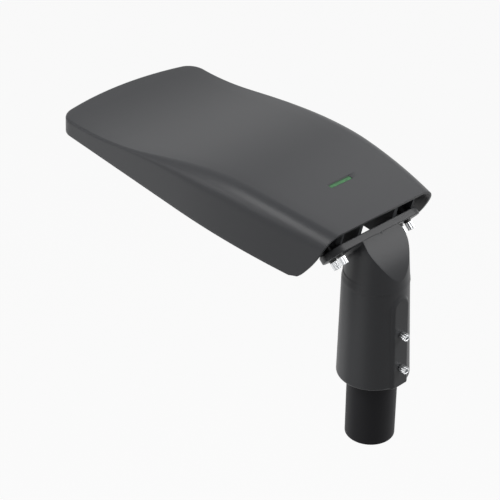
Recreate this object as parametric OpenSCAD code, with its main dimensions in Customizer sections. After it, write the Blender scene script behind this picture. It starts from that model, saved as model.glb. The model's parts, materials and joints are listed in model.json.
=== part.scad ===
// Road luminaire on a pole spigot: a curved die-cast head with its optics and gear,
// bolted by a slanted flange to a spigot that clamps on the top of a round pole.
// +Y is the way the light reaches out, +X is to the right, +Z is up.
// The origin is the centre of the lower end of the pole stub.

/* [Pole] */
// Outer diameter of the pole
pole_d = 60; // [48:1:62]
// Wall thickness of the pole
pole_wall = 3; // [2:0.5:5]
// Length of pole seen below the spigot
pole_seen = 88; // [80:1:400]
// Depth of pole inside the spigot
pole_depth = 95; // [85:1:100]

/* [Spigot] */
// Outer radius of the sleeve at its lower rim
sleeve_r = 43.2; // [42:0.1:50]
// Outer radius of the sleeve below its shoulder
sleeve_top_r = 39.1; // [38.5:0.1:42]
// Height of the sleeve up to its shoulder
sleeve_h = 130; // [125:1:150]
// Lean of the cast sleeve towards the head, in degrees
sleeve_lean = 1.16; // [0:0.01:1.5]
// Radius of the rounded lower rim
rim_round = 3.6; // [2:0.1:5]
// Height of the sloped shoulder
shoulder_h = 10; // [6:1:14]
// Inward step of the shoulder
shoulder_step = 1.5; // [0.5:0.1:2.5]
// Radius of the cable passage above the pole
throat_r = 20; // [12:1:22]
// Half width of the flat clamp pad on the rear
pad_half_w = 11.5; // [9:0.5:14]
// Height of the pad's arched top above the rim
pad_h = 119.5; // [110:0.5:124]
// Slope of the pad's face, in degrees
pad_slope = 2.36; // [1.5:0.01:3]

/* [Flange] */
// Slope of the flange below the horizontal, in degrees
flange_slope = 47.5; // [46:0.5:49]
// Height of the flange's rear edge above the sleeve's shoulder
flange_rise = 57; // [55:1:60]
// Distance of the flange's rear edge in front of the pole axis
flange_set = 4; // [2:0.5:6]
// Half length of the flange plate across the head
flange_half_l = 75.5; // [72:0.5:80]
// Depth of the flange plate
flange_b = 46; // [44:0.5:50]
// Thickness of the flange plate
flange_t = 8; // [6:0.5:10]
// Corner radius of the flange plate
flange_corner = 18; // [8:1:20]
// Radius of the neck level with the flange's rear edge
neck_top_r = 33.2; // [31:0.1:36]
// Radius of the cable hole through the flange
cable_hole_r = 14; // [9:0.5:15]

/* [Screws] */
// Diameter of the clamp and flange screws
bolt_d = 6; // [5:0.5:6.5]
// Diameter of their cylindrical heads
bolt_head_d = 9.4; // [9:0.1:11]
// Height of their cylindrical heads
bolt_head_h = 8.7; // [6:0.1:10]
// Distance of each flange screw from the middle
bolt_x = 54.6; // [50:0.2:58]
// Spacing of the two rows of flange screws
bolt_row = 16; // [14:0.5:18]
// Thickness of the collar under a flange screw's head
collar_t = 3.7; // [2:0.1:5]
// Height of the lower clamp screw above the rim
clamp_low = 27; // [20:1:35]
// Height of the upper clamp screw above the rim
clamp_high = 72; // [55:1:90]
// Diameter of the small assembly screws
screw_d = 5; // [4:0.5:5.5]
// Diameter of a small screw's head
screw_head_d = 8.4; // [8:0.1:9]
// Height of a small screw's head
screw_head_h = 3; // [2:0.1:3.2]

/* [Head] */
// Tilt of the head, front up, in degrees
head_tilt = 5; // [4:0.5:6]
// Length of the head
head_l = 457.5; // [450:0.5:490]
// Half width of the front half of the head
head_half_w = 110.4; // [108:0.1:120]
// Narrowing of each side at the rear end
rear_waist = 22.4; // [18:0.1:24]
// Length over which the sides widen
waist_l = 220; // [200:1:240]
// Crown height over the gear compartment
crown_h = 71.5; // [70:0.5:80]
// Height of the rear end's upper edge
rear_h = 65.5; // [62:0.5:70]
// Height of the flat front end
front_h = 21.5; // [20.5:0.5:24]
// Radius of the plan corners at the front
plan_corner = 25; // [20:1:30]
// Radius of the bowed front edge
front_bow = 400; // [350:5:500]
// Fillet along the upper edge over the gear compartment
edge_fillet = 22; // [16:1:24]
// Fillet along the upper edge at the front
front_fillet = 3.5; // [3.2:0.1:5]
// Wall thickness of the housing
wall = 3; // [2.5:0.1:3.2]
// Start of the rear end's raked edge on the underside
rake_l = 46; // [40:1:52]
// Radius of the raked edge's lower corner
rake_corner = 20; // [14:1:22]

/* [Casting] */
// Position of the bulkhead behind the gear compartment
bulkhead_u = 66; // [64:1:70]
// Thickness of the bulkhead and of the inner ribs
rib_t = 5; // [4:0.5:6]
// Distance of each inner seat rib from the middle
rib_x = 28; // [26:0.5:31]
// Front end of the gear compartment, at the hinge axis
hinge_u = 199; // [195:1:205]
// Height of the hinge axis above the underside
hinge_v = 5; // [4.5:0.1:6]
// Diameter of the hinge pins
hinge_pin_d = 4; // [3:0.5:4]
// Distance of each hinge from the middle
hinge_x = 60; // [50:1:66]
// Width of each hinge barrel
barrel_w = 14; // [10:1:18]
// Radius of each hinge barrel
barrel_r = 4; // [3.5:0.1:4.5]
// Height of the flange inside the casting above the underside
deck_v = 6.3; // [6.3:0.1:7]
// Thickness of the casting's flange
deck_t = 3; // [2.5:0.1:4]

/* [Optics] */
// Distance from each side of the head to the front glass
glass_margin = 16.9; // [15.9:0.1:22]
// Distance from the hinge axis to the front glass
glass_set = 17; // [15:0.5:23]
// Length of the front glass
glass_l = 215; // [204:0.5:218]
// Thickness of the glass
glass_t = 4; // [3:0.5:4.5]
// Rows of lenses in the optics
lens_rows = 6; // [3:1:7]
// Radius of each lens dome
lens_r = 7; // [5:0.1:8]

/* [Gear] */
// Height of the gear tray above the underside
tray_v = 50; // [48:0.5:52]
// Thickness of the gear tray
tray_t = 1.5; // [1:0.1:2]
// Length of the driver across the head
driver_l = 140; // [100:1:144]
// Width of the driver
driver_w = 62; // [40:1:64]
// Height of the driver
driver_h = 34; // [20:1:36]

/* [Badge] */
// Length of the flush badge inlay
badge_l = 34; // [20:0.5:40]
// Width of the badge inlay
badge_w = 6.5; // [5:0.5:10]
// Depth of the badge inlay
badge_t = 1.2; // [0.8:0.1:1.5]
// Distance of the badge from the rear end
badge_u = 71.5; // [40:0.5:100]
// Distance of the badge to the right of the middle
badge_x = 2.8; // [-20:0.1:20]

/* [Hidden] */

slide_fit = 0.08;
turn_fit = 0.05;
screw_fit = 0.3;
thread_fit = 0.1;
tip_gap = 0.4;
rest_gap = 0.3;
part_gap = 0.5;
overrun = 1;
round_fn = 96;
screw_fn = 32;

dark = "#2b2d2f";
inner = "#3a3c3e";
steel = "#c9ccce";
zinc = "#a9adb0";
rubber = "#151515";

pole_r = pole_d / 2;
rim_z = pole_seen;
seat_z = pole_seen + pole_depth;
shoulder_z = rim_z + sleeve_h;
neck_z = shoulder_z + shoulder_h;
flange_z = shoulder_z + flange_rise + shoulder_h;
ledge_r = sleeve_top_r - shoulder_step;
neck_r = 37.8;
neck_y = 1;
lean_set = -0.4;
pad_proud = 0.6;
pad_back_y = lean_set - sleeve_r - pad_proud;
head_stand = 0.7;
bolt_engage = 16;

// Plan and side outlines of the head
crest_u = 120;
dip_end_u = 430;
fillet_u = 150;
fillet_l = 180;
bow_u = head_l - front_bow;
corner_x = head_half_w - plan_corner;
corner_u = bow_u + sqrt(pow(front_bow - plan_corner, 2) - pow(corner_x, 2));
corner_turn = atan2(corner_u - bow_u, corner_x);
rake_bulge = 4;
rake_top_u = 2.5;
rake_turn = 58;
side_n = 22;
corner_n = 5;
bow_n = 4;
last = side_n + corner_n + bow_n;
fillet_n = 5;
least_fillet = 0.4;

// Where the head sits on the flange, in the head's own frame
seat_u = 8;
seat_v = 46.3;
seat_slope = flange_slope + head_tilt;
head_y = flange_set - seat_u * cos(head_tilt) + seat_v * sin(head_tilt);
head_z = flange_z - seat_u * sin(head_tilt) - seat_v * cos(head_tilt);
sweep_turn = 20;
boss_wall = 4;
seat_boss_h = 22;
seat_hole_h = bolt_engage + 3;
outer_rib_x = bolt_x + 2.4;
outer_rib_t = 3;

// Levels of the optics and gear, as heights above the underside
skin = wall + part_gap;
glass_half_w = head_half_w - glass_margin;
glass_u = hinge_u + glass_set;
glass_end = glass_u + glass_l;
cover_v = 0.2;
cover_t = 2.5;
cover_gap = 0.8;
frame_v = 3;
frame_u = hinge_u + 7;
frame_top = deck_v + 4.5;
counterbore_v = frame_v + 2.5;
gasket_t = 1.2;
glass_top = frame_v + glass_t;
pocket_v = glass_top + gasket_t;
lens_base = 1.5;
lens_v = pocket_v + 3.3;
board_v = lens_v + lens_base;
board_t = 1.6;
sink_v = board_v + board_t;
sink_t = 3;
sink_top = sink_v + sink_t;
window_half_w = glass_half_w - 7.5;
window_u = glass_u + 8;
window_end = glass_end - 8;
gear_half_w = head_half_w - 32.4;
gear_u = bulkhead_u + 18;
gear_end = hinge_u - 15;
gear_corner = 8;
seal_w = 5.5;
screw_l = 12;
cover_u = bulkhead_u + rib_t + cover_gap;
cover_end = hinge_u - 5;
latch_u = gear_u + 8;
latch_r = 5;
knob_r = 6.5;
knob_t = 1.7;
tongue_l = 16;
tongue_w = 8;
tongue_t = 3;
board_x = window_half_w / 2 - 1;
board_half_w = board_x - 0.5;
array_x = [for (i = [-1.5:1.5]) i * board_x];
array_w = board_x - 6;
lens_pitch_x = array_w / 2;
lens_pitch_u = (window_end - window_u - 8) / lens_rows;
tray_half_w = gear_half_w + 6;
tray_u = bulkhead_u + rib_t + 4;
tray_end = hinge_u - 2;

glass_mid_u = glass_u + glass_l / 2;
clip_pitch = 73;
clip_sides = [for (i = [-1:1]) glass_mid_u + i * clip_pitch];
frame_screw_x = head_half_w - 9.9;
frame_screws = [
    [frame_screw_x, glass_mid_u - clip_pitch / 2],
    [frame_screw_x, glass_mid_u + clip_pitch / 2],
    [30, head_l - 14.5]];
gear_corners = [[gear_half_w + 11.5, bulkhead_u + 11], [gear_half_w + 19, hinge_u - 7]];
tray_corners = [[gear_half_w - 2, tray_u + 9], [gear_half_w - 2, tray_end - 7]];
clip_ends = 70;
board_screw_u = [window_u + 6, (window_u + window_end) / 2, window_end - 6];
fin_x = [for (i = [-4:4]) i * (gear_half_w + 2) / 4];
fin_t = 2.5;
fin_start = frame_u + 3;
fin_end = 390;
boss_skin = 2.2;
body_hole_r = screw_d / 2 + screw_fit;
board_screw_d = 3;
board_screw_l = board_t + 1.8;
clip_t = 1;
clip_w = 12;
clip_l = 15;
clip_heel = 4;
clip_screw_d = 4;
clip_screw_l = 7;
clip_hole_h = frame_v - clip_t + clip_screw_l + tip_gap;
driver_u = 122;
lug_l = 9;
lug_w = 18;
lug_t = 2;
lug_place = [driver_l / 2 + lug_l / 2, driver_u + driver_w / 2];
surge_size = [44, 28, 24];
surge_x = -60;
gear_row_u = tray_u + 12;
pole_count = 4;
pole_pitch = 11;
terminal_x = 14;
terminal_b = 24;
terminal_h = 20;
gland_v = 36;
gland_r = 10;
nut_r = 13.5;
cable_r = 5;
saddle_w = 26;
saddle_b = 10;
earth_x = 44;
earth_v = 26;
vent_r = 5;

module at_flange() {
    translate([0, flange_set, flange_z]) rotate([-flange_slope, 0, 0]) children();
}

// The places of the four flange screws
module at_bolts() {
    for (x = [-bolt_x, bolt_x], s = [-bolt_row / 2, bolt_row / 2])
        translate([x, flange_b / 2 + s, 0]) children();
}

module at_head() {
    translate([0, head_y, head_z]) rotate([head_tilt, 0, 0]) children();
}

module both_sides() {
    children();
    mirror([1, 0, 0]) children();
}

// Turns an outline drawn in length and height into a wall standing at x
module fore_and_aft(x, t) {
    translate([x - t / 2, 0, 0]) rotate([90, 0, 90]) linear_extrude(t) children();
}

// A rounded rectangle from u0 to u1
module rounded(half_w, u0, u1, r) {
    translate([-half_w + r, u0]) square([2 * (half_w - r), u1 - u0]);
    translate([-half_w, u0 + r]) square([2 * half_w, u1 - u0 - 2 * r]);
    for (x = [-half_w + r, half_w - r], u = [u0 + r, u1 - r])
        translate([x, u]) circle(r, $fn = round_fn);
}

module hole(x, u, v0, h, r) {
    translate([x, u, v0]) cylinder(h = h, r = r, $fn = screw_fn);
}

// Outline of the head in plan, drawn in by d
function smooth(t) = (1 - cos(180 * max(0, min(1, t)))) / 2;
function half_w(u) = head_half_w - rear_waist * pow(max(0, waist_l - u) / waist_l, 2);
function top_v(u) = u < crest_u
    ? crown_h - (crown_h - rear_h) * pow((crest_u - u) / crest_u, 2)
    : crown_h - (crown_h - front_h) * smooth((u - crest_u) / (dip_end_u - crest_u));
function fillet_r(u) = edge_fillet - (edge_fillet - front_fillet) * smooth((u - fillet_u) / fillet_l);
function on_side(t, u0, d) =
    let (u = u0 + (corner_u - u0) * t) [half_w(u) - d, u];
function on_corner(t, d) =
    [corner_x, corner_u] + (plan_corner - d) * [cos(corner_turn * t), sin(corner_turn * t)];
function on_bow(t, d) =
    let (a = corner_turn + (90 - corner_turn) * t) [0, bow_u] + (front_bow - d) * [cos(a), sin(a)];
function plan_point(i, u0, d) = i <= side_n ? on_side(i / side_n, u0, d)
    : i <= side_n + corner_n ? on_corner((i - side_n) / corner_n, d)
    : on_bow((i - side_n - corner_n) / bow_n, d);
function plan_outline(u0, d) = concat(
    [for (i = [0:last]) plan_point(i, u0, d)],
    [for (i = [last - 1:-1:0]) let (p = plan_point(i, u0, d)) [-p.x, p.y]]);

// One point of the lofted skin: level 0 is the lower edge, the others climb the fillet
function skin_point(i, k, u0, v0, d) =
    k == 0 ? [plan_point(i, u0, d).x, plan_point(i, u0, d).y, v0]
    : let (
        r = max(least_fillet, fillet_r(plan_point(i, u0, d).y) - d),
        phi = 90 * (k - 1) / fillet_n,
        p = plan_point(i, u0, d + r * (1 - cos(phi)))
    ) [p.x, p.y, top_v(p.y) - d - r * (1 - sin(phi))];
ring = 2 * last + 1;
top_k = fillet_n + 1;
function skin_index(j, k) = k * ring + j;
function skin_faces() = concat(
    [[for (j = [0:ring - 1]) j]],
    [for (k = [0:top_k - 1], j = [0:ring - 2])
        [skin_index(j, k), skin_index(j, k + 1), skin_index(j + 1, k + 1)]],
    [for (k = [0:top_k - 1], j = [0:ring - 2])
        [skin_index(j, k), skin_index(j + 1, k + 1), skin_index(j + 1, k)]],
    [for (i = [0:last - 1])
        [skin_index(i, top_k), skin_index(ring - 1 - i, top_k), skin_index(ring - 2 - i, top_k)]],
    [for (i = [0:last - 2])
        [skin_index(i, top_k), skin_index(ring - 2 - i, top_k), skin_index(i + 1, top_k)]],
    [concat([skin_index(0, 0)], [for (k = [0:top_k]) skin_index(ring - 1, k)],
        [for (k = [top_k:-1:1]) skin_index(0, k)])]);

// Solid of the head's outer form, drawn in by d, open to nothing
module head_form(u0, v0, d) {
    points = [for (k = [0:top_k], j = [0:ring - 1])
        let (p = skin_point(j <= last ? j : ring - 1 - j, k, u0, v0, d)) j <= last ? p : [-p.x, p.y, p.z]];
    polyhedron(points = points, faces = skin_faces(), convexity = 4);
}

// Side outline that rakes the rear end: a rounded lower corner and a bowed edge
rake_low = [rake_l - rake_corner * sin(rake_turn), rake_corner * (1 - cos(rake_turn))];
rake_high = [rake_top_u, rear_h + 0.5];
function rake_outline() = concat(
    [[head_l + 10, -overrun], [rake_l, -overrun]],
    [for (a = [0:rake_turn / 5:rake_turn])
        [rake_l - rake_corner * sin(a), rake_corner * (1 - cos(a))]],
    [for (t = [1 / 6:1 / 6:1.01])
        rake_low + (rake_high - rake_low) * t - [4 * rake_bulge * t * (1 - t), 0]],
    [[rake_top_u - rake_bulge, crown_h + 20], [head_l + 10, crown_h + 20]]);

// Upright wall with rounded upper corners, facing along the head
module arch(u, t, low_v) {
    half = half_w(u) - skin;
    high_v = min(top_v(u), top_v(u + t)) - skin;
    r = fillet_r(u) - skin + 1;
    translate([0, u + t, 0]) rotate([90, 0, 0]) linear_extrude(t) {
        translate([-half, low_v]) square([2 * half, high_v - r - low_v]);
        translate([-half + r, low_v]) square([2 * (half - r), high_v - low_v]);
        for (x = [-half + r, half - r])
            translate([x, high_v - r]) circle(r, $fn = round_fn);
    }
}

module pole_stub() {
    color("#232426") difference() {
        cylinder(h = seat_z, r = pole_r, $fn = round_fn);
        translate([0, 0, -overrun])
            cylinder(h = seat_z + 2 * overrun, r = pole_r - pole_wall, $fn = round_fn);
    }
}

module sleeve() {
    top_r = sleeve_top_r;
    translate([0, lean_set, rim_z]) rotate([-sleeve_lean, 0, 0]) rotate_extrude($fn = round_fn)
        polygon(concat(
            [[0, 0]],
            [for (a = [0:15:90])
                [sleeve_r - rim_round * (1 - sin(a)), rim_round * (1 - cos(a))]],
            [[top_r, sleeve_h], [ledge_r, sleeve_h + shoulder_h], [0, sleeve_h + shoulder_h]]));
}

// Flat pad with an arched top that the clamp screws stand on
module clamp_pad() {
    translate([0, pad_back_y, rim_z]) rotate([-pad_slope, 0, 0])
        rotate([-90, 0, 0]) linear_extrude(sleeve_r / 2) {
            translate([-pad_half_w, pad_half_w - pad_h]) square([2 * pad_half_w, pad_h - pad_half_w]);
            translate([0, pad_half_w - pad_h]) circle(pad_half_w, $fn = round_fn);
        }
}

// Tapered round neck whose rear sweeps over into the flange's rear edge
module neck() {
    edge = 0.6;
    tip = [neck_y - neck_r, neck_z];
    top = [flange_set - flange_t * sin(flange_slope), flange_z - flange_t * cos(flange_slope)];
    chord = top - tip;
    sweep_r = norm(chord) / 2 / sin(sweep_turn);
    centre = (tip + top) / 2
        + [chord[1], -chord[0]] / norm(chord) * sweep_r * cos(sweep_turn);
    difference() {
        intersection() {
            translate([0, neck_y, shoulder_z])
                cylinder(h = flange_z - shoulder_z, r1 = neck_r, r2 = neck_top_r, $fn = round_fn);
            translate([-sleeve_r, centre[0], centre[1]]) rotate([0, 90, 0])
                cylinder(h = 2 * sleeve_r, r = sweep_r, $fn = round_fn);
        }
        at_flange() translate([-sleeve_r, -sleeve_r, edge - flange_t])
            cube([2 * sleeve_r, 4 * sleeve_r, 2 * sleeve_r]);
    }
}

module spigot() {
    color(dark) difference() {
        union() {
            sleeve();
            clamp_pad();
            neck();
            at_flange() translate([0, 0, -flange_t]) linear_extrude(flange_t)
                rounded(flange_half_l, 0, flange_b, flange_corner);
        }
        translate([0, 0, rim_z - sleeve_r])
            cylinder(h = pole_depth + sleeve_r + rest_gap, r = pole_r + slide_fit, $fn = round_fn);
        translate([0, 0, seat_z]) cylinder(h = neck_z + 12 - seat_z, r = throat_r, $fn = round_fn);
        at_flange() translate([0, flange_b / 2, -flange_t - 24])
            cylinder(h = flange_t + 24 + overrun, r = cable_hole_r, $fn = round_fn);
        at_flange() at_bolts() translate([0, 0, -flange_t - overrun])
            cylinder(h = flange_t + 2 * overrun, r = bolt_d / 2 + screw_fit, $fn = screw_fn);
        for (z = [clamp_low, clamp_high])
            translate([0, -pole_r / 2, rim_z + z]) rotate([90, 0, 0])
                cylinder(h = pole_r * 2, r = bolt_d / 2 + turn_fit, $fn = screw_fn);
    }
}

// Cap screw along Z, its head's underside at z = 0 and its shank going up
module cap_screw(shank_l) {
    difference() {
        union() {
            cylinder(h = shank_l, r = bolt_d / 2, $fn = screw_fn);
            translate([0, 0, -bolt_head_h]) cylinder(h = bolt_head_h, r = bolt_head_d / 2, $fn = screw_fn);
        }
        translate([0, 0, -bolt_head_h - overrun])
            cylinder(h = bolt_head_h / 2 + overrun, d = bolt_d, $fn = 6);
    }
}

module flange_screws() {
    color(steel) at_flange() at_bolts() translate([0, 0, -flange_t - collar_t]) {
        cap_screw(collar_t + flange_t + bolt_engage);
        cylinder(h = collar_t, r = bolt_head_d / 2 + 1, $fn = screw_fn);
    }
}

module clamp_screw(z) {
    under_head = pad_back_y + z * tan(pad_slope) - head_stand;
    shank = -pole_r - rest_gap - under_head;
    color(steel) translate([0, under_head, rim_z + z]) rotate([-90, 0, 0]) cap_screw(shank);
}

module clamp_screw_upper() clamp_screw(clamp_high);

module clamp_screw_lower() clamp_screw(clamp_low);

module badge_seat(grow) {
    translate([badge_x, badge_u, top_v(badge_u) - badge_t])
        rotate([atan((top_v(badge_u + 1) - top_v(badge_u - 1)) / 2), 0, 0])
            translate([-badge_l / 2 - grow, -badge_w / 2 - grow, 0])
                cube([badge_l + 2 * grow, badge_w + 2 * grow, badge_t * (1 + grow * 20)]);
}

module badge_insert() {
    color("#1f5b38") at_head() difference() {
        badge_seat(0);
        head_top_trim();
    }
}

module head_top_trim() {
    translate([badge_x - badge_l, badge_u - badge_l, top_v(badge_u) + badge_t]) cube(badge_l * 2);
}

module housing() {
    color(dark) at_head() {
        difference() {
            intersection() {
                head_form(-4, 0, 0);
                fore_and_aft(0, 4 * head_half_w) polygon(rake_outline());
            }
            head_form(-12, -12, wall);
            badge_seat(0.1);
        }
        housing_bosses();
    }
}

// Screw bosses that hang from the roof of the housing and end inside its wall
module housing_bosses() {
    boss_r = screw_d / 2 + boss_skin;
    pilot_h = screw_l + tip_gap;
    pilot_r = screw_d / 2 + thread_fit;
    difference() {
        intersection() {
            head_form(-4, 0, wall / 2);
            both_sides() {
                for (p = frame_screws) hole(p.x, p.y, frame_top, crown_h, boss_r);
                for (p = gear_corners) hole(p.x, p.y, deck_v + deck_t, crown_h, boss_r);
                for (p = tray_corners) hole(p.x, p.y, tray_v + tray_t, crown_h, boss_r);
            }
        }
        both_sides() {
            for (p = frame_screws) hole(p.x, p.y, counterbore_v, pilot_h, pilot_r);
            for (p = gear_corners) hole(p.x, p.y, deck_v, pilot_h, pilot_r);
            for (p = tray_corners) hole(p.x, p.y, tray_v, pilot_h, pilot_r);
        }
    }
}

// Rib that carries the flange seat, drawn in length and height
function roof_line(u0, u1, n) = [for (i = [0:n]) let (u = u0 + (u1 - u0) * i / n) [u, top_v(u) - skin]];

module seat_rib(x, t) {
    s_end = 42;
    fore_and_aft(x, t) polygon(concat(
        [[seat_u, seat_v], [seat_u + s_end * cos(seat_slope), seat_v - s_end * sin(seat_slope)],
            [bulkhead_u + 1, seat_v - s_end * sin(seat_slope)]],
        roof_line(bulkhead_u + 1, 5.5, 6),
        [[seat_u, seat_v + 1]]));
}

// Boss that takes a flange screw, square to the seat
module seat_bosses(h, r) {
    at_seat() at_bolts() cylinder(h = h, r = r, $fn = screw_fn);
}

module at_seat() {
    translate([0, seat_u, seat_v]) rotate([-seat_slope, 0, 0]) children();
}

module hinge_barrel(w, r) {
    translate([-w / 2, hinge_u, hinge_v]) rotate([0, 90, 0]) cylinder(h = w, r = r, $fn = screw_fn);
}

module chassis() {
    ear_t = 4;
    ear_gap = 0.4;
    color(inner) at_head() difference() {
        union() {
            translate([0, 0, deck_v]) linear_extrude(deck_t) polygon(plan_outline(bulkhead_u, skin));
            translate([0, 0, frame_v]) linear_extrude(frame_top - frame_v)
                polygon(plan_outline(frame_u, skin));
            translate([0, 0, pocket_v]) linear_extrude(sink_top - pocket_v)
                rounded(window_half_w + 3, window_u - 3, window_end + 3, gear_corner);
            arch(bulkhead_u, rib_t, 1);
            arch(frame_u + 1, 3, deck_v);
            for (x = [-rib_x, rib_x]) seat_rib(x, rib_t + 0.5);
            for (x = [-outer_rib_x, outer_rib_x]) seat_rib(x, outer_rib_t);
            seat_bosses(seat_boss_h, bolt_d / 2 + boss_wall);
            for (x = fin_x) fore_and_aft(x, fin_t) polygon(concat(
                [[fin_start, sink_top - 1], [fin_end, sink_top - 1]],
                roof_line(fin_end, fin_start, 10)));
            for (x = [-hinge_x, hinge_x], e = [-1, 1])
                translate([x + e * (barrel_w / 2 + ear_gap + ear_t / 2), 0, 0]) {
                    hinge_barrel(ear_t, barrel_r);
                    translate([-ear_t / 2, hinge_u - barrel_r, hinge_v])
                        cube([ear_t, 2 * barrel_r, deck_v - hinge_v + 1]);
                }
        }
        translate([0, 0, -overrun]) linear_extrude(frame_top + 2)
            rounded(gear_half_w, gear_u, gear_end, gear_corner);
        translate([0, 0, -overrun]) linear_extrude(pocket_v + overrun)
            rounded(glass_half_w + part_gap, glass_u - part_gap, glass_end + part_gap, gear_corner);
        linear_extrude(sink_v) rounded(window_half_w, window_u, window_end, gear_corner);
        for (x = [-hinge_x, hinge_x]) {
            translate([x - barrel_w / 2 - ear_gap, cover_end - 4, -overrun])
                cube([barrel_w + 2 * ear_gap, frame_u - cover_end + 3, deck_v + deck_t + 2 * overrun]);
            translate([x, 0, 0]) hinge_barrel(barrel_w + 4 * ear_t, hinge_pin_d / 2 + 0.02);
        }
        at_seat() at_bolts() translate([0, 0, -overrun])
            cylinder(h = seat_hole_h, r = bolt_d / 2 + thread_fit, $fn = screw_fn);
        both_sides() {
            for (p = concat(frame_screws, gear_corners)) hole(p.x, p.y, 0, frame_top * 2, body_hole_r);
            for (p = frame_screws) hole(p.x, p.y, 0, counterbore_v, screw_head_d / 2 + screw_fit);
        }
        clip_places() cylinder(h = clip_hole_h, r = clip_screw_d / 2 + thread_fit, $fn = screw_fn);
        for (x = [-board_x, board_x], u = board_screw_u)
            hole(x, u, sink_v - 1, sink_t, board_screw_d / 2 + thread_fit);
        translate([0, bulkhead_u, gland_v]) along(rib_t, gland_r + thread_fit, screw_fn);
        translate([-earth_x, bulkhead_u, earth_v]) along(rib_t, screw_d / 2 + thread_fit, screw_fn);
        translate([earth_x, bulkhead_u, earth_v]) along(rib_t, vent_r + thread_fit, screw_fn);
    }
}

// Cylinder lying along the head, a little long at both ends
module along(l, r, fn) {
    translate([0, -overrun, 0]) rotate([-90, 0, 0]) cylinder(h = l + 2 * overrun, r = r, $fn = fn);
}

module between(l0, l1, r, fn) {
    translate([0, l0, 0]) rotate([-90, 0, 0]) cylinder(h = l1 - l0, r = r, $fn = fn);
}

// Places of the glass clips' screws, each turned so that Y points at the glass
module clip_places() {
    for (s = [-1, 1], u = clip_sides)
        translate([s * (glass_half_w + 7), u, 0]) rotate([0, 0, s * 90]) children();
    for (x = [-clip_ends, clip_ends]) {
        translate([x, glass_u - 5, 0]) children();
        translate([x, glass_end + 7, 0]) rotate([0, 0, 180]) children();
    }
}

// Screw with a round head below z = 0 and a shank going up
module pan_screw(d, head_r, head_h, l) {
    difference() {
        union() {
            cylinder(h = l, d = d, $fn = screw_fn);
            translate([0, 0, -head_h]) cylinder(h = head_h, r = head_r, $fn = screw_fn);
        }
        translate([0, 0, -head_h - overrun]) cylinder(h = head_h / 2 + overrun, r = head_r / 2, $fn = 6);
    }
}

module body_screw() pan_screw(screw_d, screw_head_d / 2, screw_head_h, screw_l);

module chassis_screws() {
    color(steel) at_head() both_sides() {
        for (p = frame_screws) translate([p.x, p.y, counterbore_v]) body_screw();
        for (p = gear_corners) translate([p.x, p.y, deck_v]) body_screw();
    }
}

module gear_cover() {
    stiffener_x = 45;
    stiffener_t = 2;
    color(dark) at_head() difference() {
        union() {
            translate([0, 0, cover_v]) linear_extrude(cover_t) intersection() {
                polygon(plan_outline(cover_u, wall + cover_gap));
                translate([-head_half_w, cover_u]) square([2 * head_half_w, cover_end - cover_u]);
            }
            hole(0, latch_u, cover_v, deck_v + deck_t - cover_v, latch_r + boss_skin);
            for (x = [-stiffener_x, stiffener_x]) fore_and_aft(x, stiffener_t)
                polygon([[gear_u + 3, cover_v + 1], [gear_end - 3, cover_v + 1],
                    [gear_end - 6, deck_v + deck_t], [gear_u + 6, deck_v + deck_t]]);
            for (x = [-hinge_x, hinge_x]) {
                translate([x, 0, 0]) hinge_barrel(barrel_w, barrel_r);
                translate([x - barrel_w / 2, cover_end - 3, cover_v])
                    cube([barrel_w, hinge_u - cover_end + 3, hinge_v - cover_v]);
            }
        }
        for (x = [-hinge_x, hinge_x])
            translate([x, 0, 0]) hinge_barrel(barrel_w + 2, hinge_pin_d / 2 + turn_fit);
        hole(0, latch_u, -overrun, deck_v + deck_t + 2 * overrun, latch_r + turn_fit);
        hole(0, latch_u, -overrun, overrun + cover_v + knob_t + rest_gap, knob_r + rest_gap);
    }
}

module cover_gasket() {
    half = gear_half_w + part_gap;
    low_u = gear_u - part_gap;
    high_u = gear_end + part_gap;
    color(rubber) at_head() translate([0, 0, cover_v + cover_t])
        linear_extrude(deck_v - rest_gap - cover_v - cover_t) difference() {
            rounded(half + seal_w, low_u - seal_w, high_u + seal_w, gear_corner + seal_w);
            rounded(half, low_u, high_u, gear_corner);
        }
}

module hinge_pins() {
    color(steel) at_head() for (x = [-hinge_x, hinge_x])
        translate([x, 0, 0]) hinge_barrel(barrel_w + 8.8, hinge_pin_d / 2);
}

// Quarter-turn latch: knob, stem and a tongue that swings over the casting's edge
module cover_latch() {
    slot_l = 10;
    slot_w = 1.6;
    color(zinc) at_head() translate([0, latch_u, 0]) {
        difference() {
            translate([0, 0, cover_v]) cylinder(h = knob_t, r = knob_r, $fn = round_fn);
            translate([-slot_l / 2, -slot_w / 2, cover_v - overrun]) cube([slot_l, slot_w, overrun + 1]);
        }
        translate([0, 0, cover_v + 1]) cylinder(h = deck_v + deck_t + rest_gap + tongue_t - cover_v - 1,
            r = latch_r, $fn = round_fn);
        translate([0, -tongue_w / 2, deck_v + deck_t + rest_gap]) cube([tongue_l, tongue_w, tongue_t]);
    }
}

module front_glass() {
    color([0.75, 0.82, 0.84, 0.5]) at_head() translate([0, 0, frame_v]) linear_extrude(glass_t)
        rounded(glass_half_w, glass_u, glass_end, gear_corner);
}

module glass_gasket() {
    color(rubber) at_head() translate([0, 0, glass_top]) linear_extrude(gasket_t) difference() {
        rounded(glass_half_w, glass_u, glass_end, gear_corner);
        rounded(window_half_w + 0.5, window_u - 0.5, window_end + 0.5, gear_corner);
    }
}

module glass_clips() {
    color(zinc) at_head() clip_places() translate([0, 0, frame_v - clip_t]) difference() {
        translate([-clip_w / 2, -clip_heel, 0]) cube([clip_w, clip_l, clip_t]);
        hole(0, 0, -overrun, clip_t + 2 * overrun, clip_screw_d / 2 + 0.2);
    }
}

module clip_screws() {
    color(steel) at_head() clip_places() translate([0, 0, frame_v - clip_t])
        pan_screw(clip_screw_d, 3.4, 1.6, clip_screw_l);
}

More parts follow.
